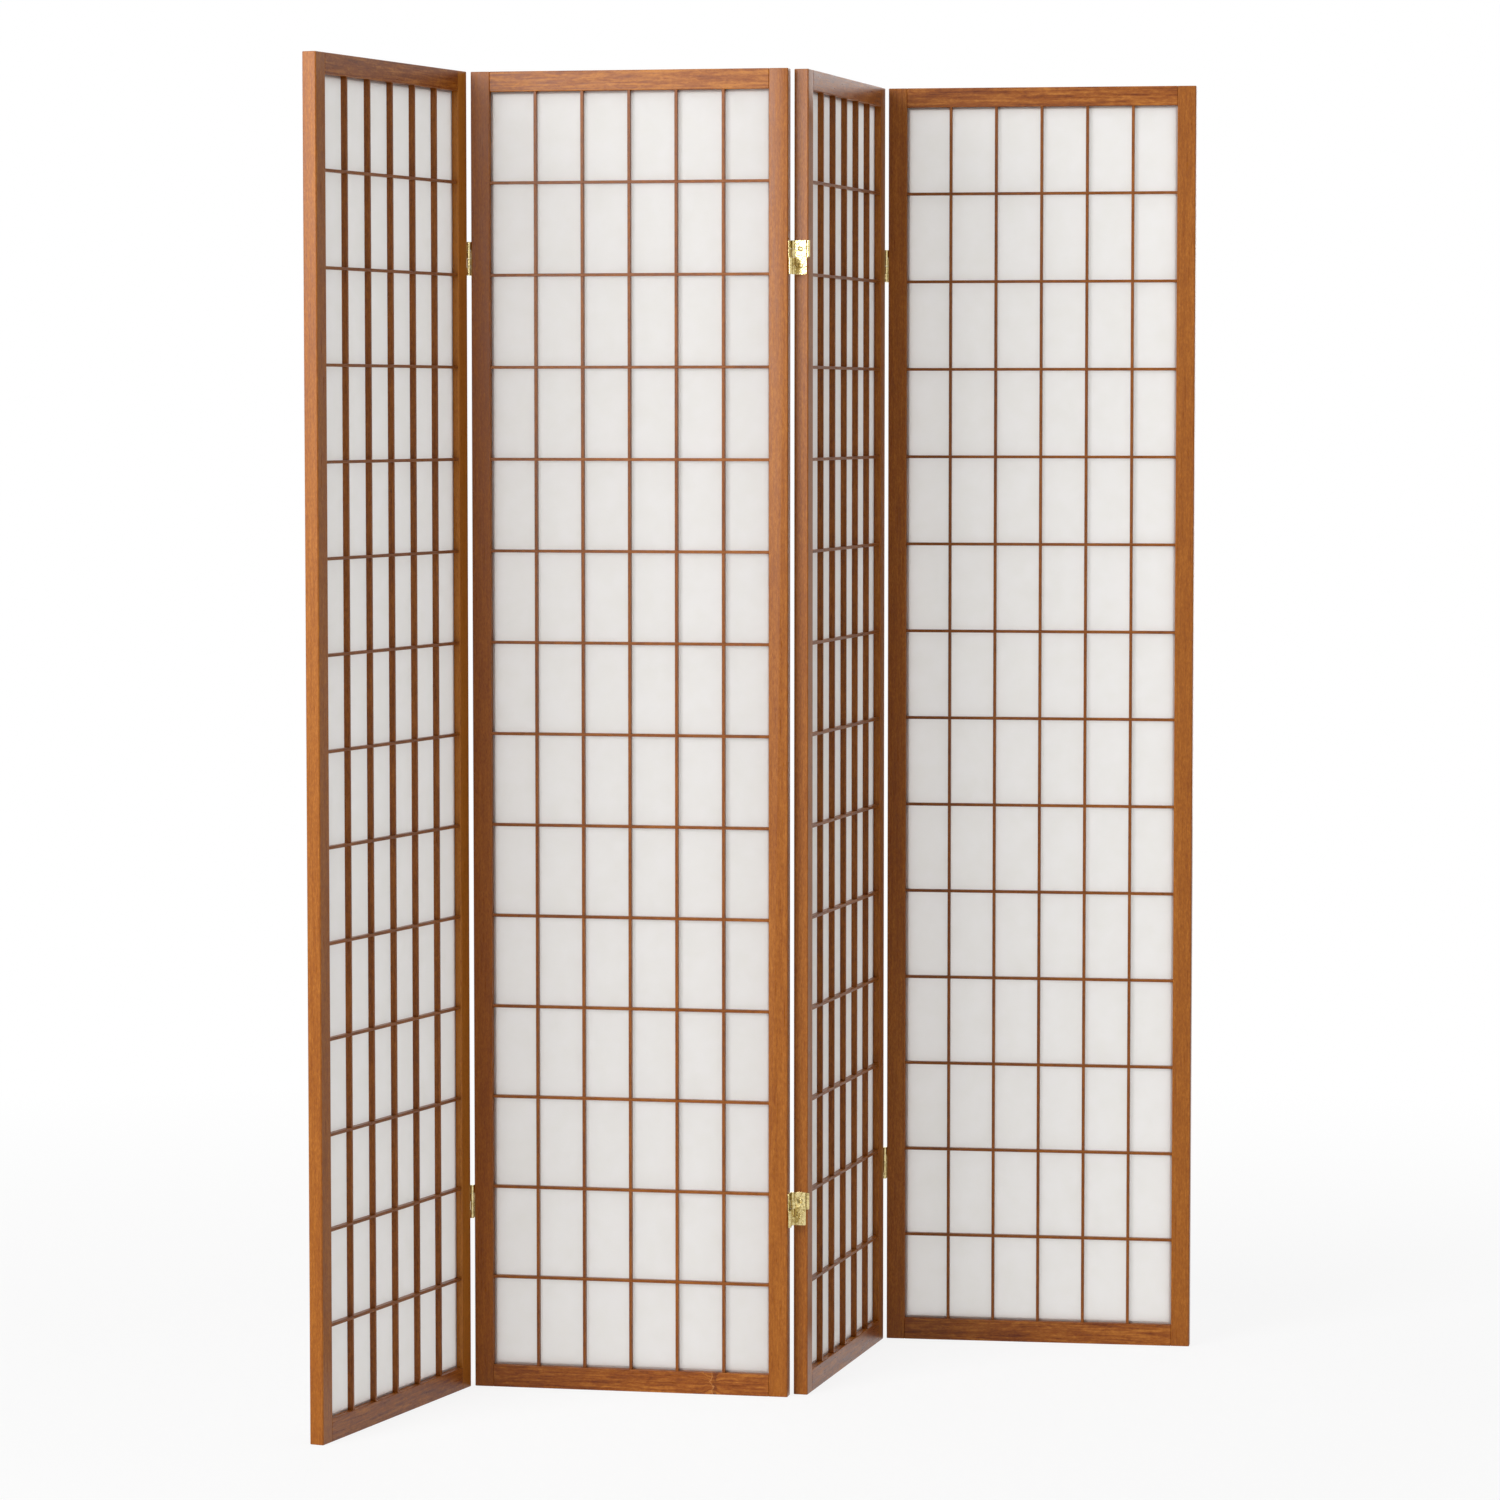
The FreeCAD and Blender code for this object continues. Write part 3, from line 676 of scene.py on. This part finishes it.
# The double-action hinges, two at each fold.
hinge = dict(
    high=45 * mm,
    fromTop=250 * mm,
    fromFloor=254 * mm,
    leafThick=1.1 * mm,
    leafInset=2.2 * mm,  # leaf edge back from the panel face
    linkThick=1.1 * mm,
    swingGap=0.4 * mm,
    pinRadius=1.35 * mm,
    knuckle=2.5 * mm,  # outside of the rolled barrel
    knuckleGap=0.3 * mm,
    screwRise=11.25 * mm,
    screwRadius=1.5 * mm,
    headRadius=3 * mm,
    headHigh=1.2 * mm,
    screwReach=15 * mm,
    screwTip=1.5 * mm,
    screwTaper=5 * mm,
    crossLong=1.75 * mm,  # half the cross recess in a screw head
    crossWide=0.42 * mm,
    crossFloor=0.42,  # share of the head's height that it leaves
    access=4 * mm,  # hole in the link over a screw head
    screwPlay=0.1 * mm,
    leafCorner=1.6 * mm,
    linkCorner=0.8 * mm,
    plateEase=0.08 * mm,
    pinDome=0.35 * mm,
    leafCurlEnd=472,  # degrees, where the rolled strap closes on itself
    linkCurlEnd=432,
    rollSteps=28,
    roundSteps=28,
    holeSteps=32,
    cornerSteps=6,
    sharper=math.radians(35),
)
brassLook = dict(
    colour=srgb(222, 205, 150),
    # Part real tarnish, part painted dark reflection: darker than tarnish alone, standing in for
    # dim surroundings mirrored in the brass.
    tarnishAndDarkReflection=srgb(142, 118, 54),
    patchSize=260,
    scuffSize=2600,
    scuffRough=0.06,
    scuffBump=0.15,
    scuffHigh=0.03 * mm,
    rippleSize=330,  # pressed sheet is never quite flat
    rippleHigh=0.5 * mm,
    roughness=0.13,
    pinRougher=0.04,
    screwSmoother=0.04,
)
halfThick = panelSize["thick"] / 2
pinOut = halfThick + panelSize["pinProud"]
leafEdge = halfThick - hinge["leafInset"]
linkEdge = pinOut - hinge["knuckle"] - hinge["swingGap"]
knuckleHigh = (hinge["high"] - 3 * hinge["knuckleGap"]) / 4


def makeBrass(name, roughness, away):
    # away moves the tarnish patches, which are also painted dark reflection, so that the kinds of
    # piece differ.
    look = brassLook
    brass, tree, shader = newMaterial(name)
    coords = addNode(tree, "ShaderNodeTexCoord").outputs["Object"]
    coords = placed(tree, coords, Matrix.Translation((away, away * 0.7, 0)))
    tarnishAndReflectionPatches = noiseNode(tree, coords, look["patchSize"], 4, 0.6)
    brushed = placed(tree, coords, scale=(1, 1, 0.15))
    scuffs = noiseNode(tree, brushed, look["scuffSize"], 2, 0.5)
    # Darker patches: real tarnish together with painted dark reflection.
    colour = mixColour(tree, spread(tree, tarnishAndReflectionPatches, 0.45, 0.75), look["colour"], look["tarnishAndDarkReflection"])
    tree.links.new(colour, shader.inputs["Base Color"])
    shader.inputs["Metallic"].default_value = 1.0
    rough = mathNode(tree, "ADD", spread(tree, tarnishAndReflectionPatches, 0.3, 0.7, 0, 0.1), roughness)
    rough = mathNode(tree, "ADD", rough, mathNode(tree, "MULTIPLY", scuffs, look["scuffRough"]))
    tree.links.new(rough, shader.inputs["Roughness"])
    ripple = addNode(tree, "ShaderNodeBump", {"Strength": 1.0, "Distance": look["rippleHigh"]})
    slow = noiseNode(tree, coords, look["rippleSize"], 2, 0.5)
    tree.links.new(slow, ripple.inputs["Height"])
    relief = {"Strength": look["scuffBump"], "Distance": look["scuffHigh"]}
    bump = addNode(tree, "ShaderNodeBump", relief)
    tree.links.new(scuffs, bump.inputs["Height"])
    tree.links.new(ripple.outputs[0], bump.inputs["Normal"])
    tree.links.new(bump.outputs[0], shader.inputs["Normal"])
    return brass


def circlePoints(radius, count, middle=(0, 0)):
    return [
        (
            middle[0] + radius * math.cos(2 * math.pi * k / count),
            middle[1] + radius * math.sin(2 * math.pi * k / count),
        )
        for k in range(count)
    ]


def rolledPath(start, tangent, centre, radius, degreesFrom, degreesTo):
    # A sheet's middle line: straight to the tangent point, then rolled round the pin.
    path = [Vector(start), Vector(tangent)]
    steps = hinge["rollSteps"]
    for k in range(1, steps + 1):
        angle = math.radians(degreesFrom + (degreesTo - degreesFrom) * k / steps)
        x = centre[0] + radius * math.cos(angle)
        y = centre[1] + radius * math.sin(angle)
        path.append(Vector((x, y)))
    return path


def thickened(path, thick):
    # The outline of a sheet seen on edge.
    sides = []
    for side in (1, -1):
        line = []
        for k, point in enumerate(path):
            before = path[max(k - 1, 0)]
            after = path[min(k + 1, len(path) - 1)]
            along = (after - before).normalized()
            line.append(tuple(point + side * thick / 2 * Vector((-along.y, along.x))))
        sides.append(line)
    return sides[0] + sides[1][::-1]


def plateMesh(name, outline, holes, thick, place):
    # A sheet with round holes, filled as a flat curve, lying in its own YZ plane.
    curve = bpy.data.curves.new(name, "CURVE")
    curve.dimensions = "2D"
    curve.fill_mode = "BOTH"
    curve.extrude = thick / 2 - hinge["plateEase"]
    curve.bevel_depth = hinge["plateEase"]
    curve.bevel_resolution = 1
    steps = hinge["holeSteps"]
    for ring in [outline] + [circlePoints(radius, steps, spot) for spot, radius in holes]:
        spline = curve.splines.new("POLY")
        spline.points.add(len(ring) - 1)
        for point, (a, b) in zip(spline.points, ring):
            point.co = (a, b, 0, 1)
        spline.use_cyclic_u = True
    carrier = bpy.data.objects.new(name, curve)
    bpy.context.scene.collection.objects.link(carrier)
    bpy.context.view_layer.update()
    mesh = bpy.data.meshes.new_from_object(carrier)
    bpy.data.objects.remove(carrier)
    mesh.transform(place)
    return mesh


def roundedPlate(left, low, right, high, corner):
    # Corner radii run from the lower right one against the clock. 0 keeps one square.
    outline = []
    steps = hinge["cornerSteps"]
    spots = (
        (right - corner[0], low + corner[0], -90, corner[0]),
        (right - corner[1], high - corner[1], 0, corner[1]),
        (left + corner[2], high - corner[2], 90, corner[2]),
        (left + corner[3], low + corner[3], 180, corner[3]),
    )
    for x, y, begin, radius in spots:
        if radius == 0:
            outline.append((x, y))
            continue
        for k in range(steps + 1):
            angle = math.radians(begin + 90 * k / steps)
            outline.append((x + radius * math.cos(angle), y + radius * math.sin(angle)))
    return outline


asIs = Matrix.Identity(4)
aboutFace = Matrix.Rotation(math.pi, 4, "Z")
headOver = Matrix.Rotation(math.pi, 4, "X")
# A flat curve's X and Y become the hinge's Y and Z.
standUp = Matrix(((0, 0, 1, 0), (1, 0, 0, 0), (0, 1, 0, 0), (0, 0, 0, 1)))


def joined(name, parts):
    # One mesh from meshes and their places.
    shape = bmesh.new()
    for mesh, place in parts:
        before = len(shape.verts)
        shape.from_mesh(mesh)
        shape.verts.ensure_lookup_table()
        bmesh.ops.transform(shape, matrix=place, verts=shape.verts[before:])
    whole = bpy.data.meshes.new(name)
    shape.to_mesh(whole)
    shape.free()
    return whole


def leafMesh():
    half = hinge["high"] / 2
    inner = -panelSize["foldGap"] / 2
    middle = inner + hinge["leafThick"] / 2
    corner = hinge["leafCorner"]
    outline = roundedPlate(-leafEdge, -half, leafEdge, half, (corner, 0, corner, 0))
    bore = hinge["screwRadius"] + hinge["screwPlay"]
    holes = [((0, side * hinge["screwRise"]), bore) for side in (-1, 1)]
    seated = Matrix.Translation((middle, 0, 0)) @ standUp
    plate = plateMesh("leafPlate", outline, holes, hinge["leafThick"], seated)
    roll = hinge["knuckle"] - hinge["leafThick"] / 2
    # The strap leaves the plate's edge, steps out of its plane and rolls forward round the pin.
    onPlate = (middle, -leafEdge + 1.2 * mm)
    bendFrom = (middle, -leafEdge - 0.1 * mm)
    bendTo = (-roll - 0.12 * mm, -leafEdge - 1.1 * mm)
    path = [Vector(onPlate), Vector(bendFrom)]
    path += rolledPath(bendTo, (-roll, -pinOut), (0, -pinOut), roll, 180, hinge["leafCurlEnd"])
    shape = bmesh.new()
    addPrism(shape, thickened(path, hinge["leafThick"]), -half, -half + knuckleHigh)
    curl = meshOf(shape, "leafCurl")
    return joined("leaf", [(plate, asIs), (curl, asIs), (curl, headOver)])


def linkMesh():
    half = hinge["high"] / 2
    gap = hinge["knuckleGap"]
    corner = hinge["linkCorner"]
    outline = roundedPlate(-linkEdge, -half, linkEdge, -gap / 2, (corner, 0, 0, corner))
    holes = [((0, -hinge["screwRise"]), hinge["access"])]
    plate = plateMesh("linkPlate", outline, holes, hinge["linkThick"], standUp)
    roll = hinge["knuckle"] - hinge["linkThick"] / 2
    begin = -linkEdge + 0.6 * mm
    reach = pinOut + begin
    lean = math.acos(roll / reach)  # tangent from the sheet's edge to the barrel
    touch = math.degrees(math.pi / 2 + lean)
    spot = (
        roll * math.cos(math.radians(touch)),
        -pinOut + roll * math.sin(math.radians(touch)),
    )
    path = [Vector((0, -linkEdge + 1.4 * mm))]
    path += rolledPath((0, begin), spot, (0, -pinOut), roll, touch, hinge["linkCurlEnd"])
    low = -half + knuckleHigh + gap
    shape = bmesh.new()
    addPrism(shape, thickened(path, hinge["linkThick"]), low, low + knuckleHigh)
    curl = meshOf(shape, "linkCurl")
    return joined("link", [(plate, asIs), (curl, asIs), (curl, aboutFace)])


def turnedMesh(name, profile, steps):
    # Spins a profile of (radius, height) round Z.
    shape = bmesh.new()
    rings = []
    for radius, height in profile:
        if radius < tiny:
            rings.append([shape.verts.new((0, 0, height))])
        else:
            circle = circlePoints(radius, steps)
            rings.append([shape.verts.new((x, y, height)) for x, y in circle])
    for lower, upper in zip(rings, rings[1:]):
        for k in range(steps):
            after = (k + 1) % steps
            if len(lower) == 1:
                shape.faces.new((lower[0], upper[after], upper[k]))
            elif len(upper) == 1:
                shape.faces.new((lower[k], lower[after], upper[0]))
            else:
                shape.faces.new((lower[k], lower[after], upper[after], upper[k]))
    return meshOf(shape, name)


def pinMesh():
    length = (hinge["high"] - hinge["knuckleGap"]) / 2
    radius = hinge["pinRadius"]
    dome = hinge["pinDome"]
    ends = [(0.0, 0.0), (0.55, 0.12), (0.85, 0.45), (1.0, 1.0)]
    profile = [(radius * r, dome * h) for r, h in ends]
    profile += [(radius * r, length - dome * h) for r, h in reversed(ends)]
    return turnedMesh("pin", profile, hinge["roundSteps"])


def screwMesh():
    # A round head with a cross recess, its axis along X.
    head = hinge["headRadius"]
    high = hinge["headHigh"]
    shank = hinge["screwRadius"]
    reach = -hinge["screwReach"]
    profile = [
        (0, reach),
        (0.4 * shank, reach + hinge["screwTip"]),
        (shank, reach + hinge["screwTaper"]),
        (shank, 0),
        (head, 0),
    ]
    for degrees in range(12, 91, 13):  # the dome, up to its middle
        angle = math.radians(degrees)
        profile.append((head * math.cos(angle), high * math.sin(angle)))
    mesh = turnedMesh("screw", profile, hinge["holeSteps"])
    blank = bpy.data.objects.new("screwBlank", mesh)
    bpy.context.scene.collection.objects.link(blank)
    shape = bmesh.new()
    long, wide = hinge["crossLong"], hinge["crossWide"]
    for a, b in ((long, wide), (wide, long)):
        outline = [(-a, -b), (a, -b), (a, b), (-a, b)]
        addPrism(shape, outline, high * hinge["crossFloor"], high * 1.5)
    cutter = bpy.data.objects.new("crossCutter", meshOf(shape, "crossCutter"))
    bpy.context.scene.collection.objects.link(cutter)
    cut = blank.modifiers.new("recess", "BOOLEAN")
    cut.operation = "DIFFERENCE"
    cut.solver = "EXACT"
    cut.use_self = True
    cut.object = cutter
    bpy.context.view_layer.update()
    depsgraph = bpy.context.evaluated_depsgraph_get()
    cutMesh = bpy.data.meshes.new_from_object(blank.evaluated_get(depsgraph))
    bpy.data.objects.remove(blank)
    bpy.data.objects.remove(cutter)
    cutMesh.transform(Matrix.Rotation(math.radians(90), 4, "Y"))
    return cutMesh


leaf = leafMesh()
link = linkMesh()
pin = pinMesh()
screw = screwMesh()
sheen = brassLook["roughness"]
hingeBrass = makeBrass("hinge_brass", sheen, 0.0)
pinBrass = makeBrass("pin_brass", sheen + brassLook["pinRougher"], 1.3)
screwBrass = makeBrass("screw_brass", sheen - brassLook["screwSmoother"], 2.9)

levels = [hinge["fromFloor"], panelSize["height"] - hinge["fromTop"]]


def atLevels(form, spots, turn=asIs):
    # The form at the lower and the upper hinge.
    return [
        (form, Matrix.Translation((x, y, level + z)) @ turn)
        for level in levels
        for x, y, z in spots
    ]


lowStart = -hinge["high"] / 2  # where the lower and the upper pins begin
highStart = hinge["knuckleGap"] / 2
seat = -panelSize["foldGap"] / 2 + hinge["leafThick"]
rises = (-hinge["screwRise"], hinge["screwRise"])
hingeParts = dict(
    left_leaves=atLevels(leaf, [(0, 0, 0)]),
    right_leaves=atLevels(leaf, [(0, 0, 0)], aboutFace),
    lower_links=atLevels(link, [(0, 0, 0)]),
    upper_links=atLevels(link, [(0, 0, 0)], headOver),
    left_pins=atLevels(pin, [(0, -pinOut, lowStart), (0, pinOut, highStart)]),
    right_pins=atLevels(pin, [(0, pinOut, lowStart), (0, -pinOut, highStart)]),
    left_screws=atLevels(screw, [(seat, 0, z) for z in rises]),
    right_screws=atLevels(screw, [(-seat, 0, z) for z in rises], aboutFace),
)
halfGap = panelSize["foldGap"] / 2
for number, line in folds.items():
    pastRight = Matrix.Translation((panelSize["width"] + halfGap, halfThick, 0))
    pastLeft = Matrix.Translation((-halfGap, halfThick, 0))
    leftPlace = places[number] @ pastRight
    rightPlace = places[number + 1] @ pastLeft
    stays = "upper_links" if line == "front" else "lower_links"  # with the left panel
    for kind, parts in hingeParts.items():
        onLeft = kind.startswith("left") or kind == stays
        name = "fold_%d_%s" % (number, kind)
        mesh = joined(name, parts)
        if "pins" in kind:
            metal, slotName = pinBrass, "pin_brass"
        elif "screws" in kind:
            metal, slotName = screwBrass, "screw_brass"
        else:
            metal, slotName = hingeBrass, "hinge_brass"
        mesh.materials.clear()
        mesh.materials.append(metal)
        body = "panel_%d" % (number if onLeft else number + 1)
        place = leftPlace if onLeft else rightPlace
        newPiece("bright_" + name, mesh, place, body, name)
        smoothShade(mesh)
        mesh.set_sharp_from_angle(angle=hinge["sharper"])
print("hinges hung")


# The room: floor, light and camera.
room = dict(
    floor=14.0,
    floorDrop=0.2 * mm,
    floorColour=0.9,
    floorRoughness=0.9,
    seenNear=0.86,  # white share of the floor beside the screen, where it takes a shadow
    nearRadius=1.0,
    farRadius=3.2,  # plain white from here on
    worldFill=0.29,
)
lamps = dict(
    key=dict(spot=(-5.18, -1.84, 2.65), size=(2.9, 2.6), power=255, aim=(0, 0, 2.2)),
    behind=dict(spot=(2.9, 3.0, 1.7), size=(3.0, 2.6), power=42, aim=(0, 0, 0.9)),
    top=dict(spot=(0.2, -0.6, 4.4), size=(3.4, 2.6), power=25, aim=(0, -0.2, 0)),
)
photoCamera = dict(
    spot=(-3.646, -5.889, 1.3323),
    heading=-32.0,
    tiltDown=3.84,
    lens=121.99,
    sensor=36,
    farthest=60,
)


def seenRays(tree):
    # 1 where the camera, a mirror image or a clear pane shows the surroundings.
    path = addNode(tree, "ShaderNodeLightPath")
    seen = mathNode(tree, "MAXIMUM", path.outputs["Is Camera Ray"], path.outputs["Is Glossy Ray"])
    return mathNode(tree, "MAXIMUM", seen, path.outputs["Is Transmission Ray"])


def makeWorld():
    world = bpy.data.worlds.new("studio")
    bpy.context.scene.world = world
    world.use_nodes = True
    tree = world.node_tree
    back = tree.nodes["Background"]
    back.inputs["Color"].default_value = (1, 1, 1, 1)
    strength = spread(tree, seenRays(tree), 0, 1, room["worldFill"], 1.0)
    tree.links.new(strength, back.inputs["Strength"])


def makeFloor():
    shape = bmesh.new()
    bmesh.ops.create_circle(shape, cap_ends=True, segments=96, radius=room["floor"])
    floor = bpy.data.objects.new("floor", meshOf(shape, "floor"))
    bpy.context.scene.collection.objects.link(floor)
    floor.location.z = -room["floorDrop"]
    material, tree, shader = newMaterial("pale_floor")
    tone = room["floorColour"]
    shader.inputs["Base Color"].default_value = (tone, tone, tone, 1)
    shader.inputs["Roughness"].default_value = room["floorRoughness"]
    shader.inputs["Specular IOR Level"].default_value = 0.0
    white = addNode(tree, "ShaderNodeEmission", {"Strength": 1.0})
    both = addNode(tree, "ShaderNodeMixShader")
    away = addNode(tree, "ShaderNodeVectorMath", operation="LENGTH")
    tree.links.new(addNode(tree, "ShaderNodeTexCoord").outputs["Object"], away.inputs[0])
    distance = away.outputs["Value"]
    share = spread(tree, distance, room["nearRadius"], room["farRadius"], room["seenNear"], 1.0)
    tree.links.new(mathNode(tree, "MULTIPLY", seenRays(tree), share), both.inputs[0])
    tree.links.new(shader.outputs[0], both.inputs[1])
    tree.links.new(white.outputs[0], both.inputs[2])
    tree.links.new(both.outputs[0], tree.nodes["Material Output"].inputs["Surface"])
    floor.data.materials.append(material)


def addLamp(name, spot, size, power, aim):
    light = bpy.data.lights.new(name, "AREA")
    light.shape = "RECTANGLE"
    light.size, light.size_y = size
    light.energy = power
    lamp = bpy.data.objects.new(name, light)
    bpy.context.scene.collection.objects.link(lamp)
    lamp.location = spot
    lamp.rotation_euler = (Vector(aim) - Vector(spot)).to_track_quat("-Z", "Y").to_euler()
    lamp.visible_camera = False


def addCamera():
    view = bpy.data.cameras.new("photoCamera")
    view.lens = photoCamera["lens"]
    view.sensor_width = photoCamera["sensor"]
    camera = bpy.data.objects.new("photoCamera", view)
    bpy.context.scene.collection.objects.link(camera)
    camera.location = photoCamera["spot"]
    tilt = math.radians(90 - photoCamera["tiltDown"])
    camera.rotation_euler = Euler((tilt, 0, math.radians(photoCamera["heading"])))
    view.clip_end = photoCamera["farthest"]
    bpy.context.scene.camera = camera


makeWorld()
makeFloor()
for name, lamp in lamps.items():
    addLamp(name, **lamp)
addCamera()
bpy.context.scene.view_settings.view_transform = "Standard"
print("room lit")
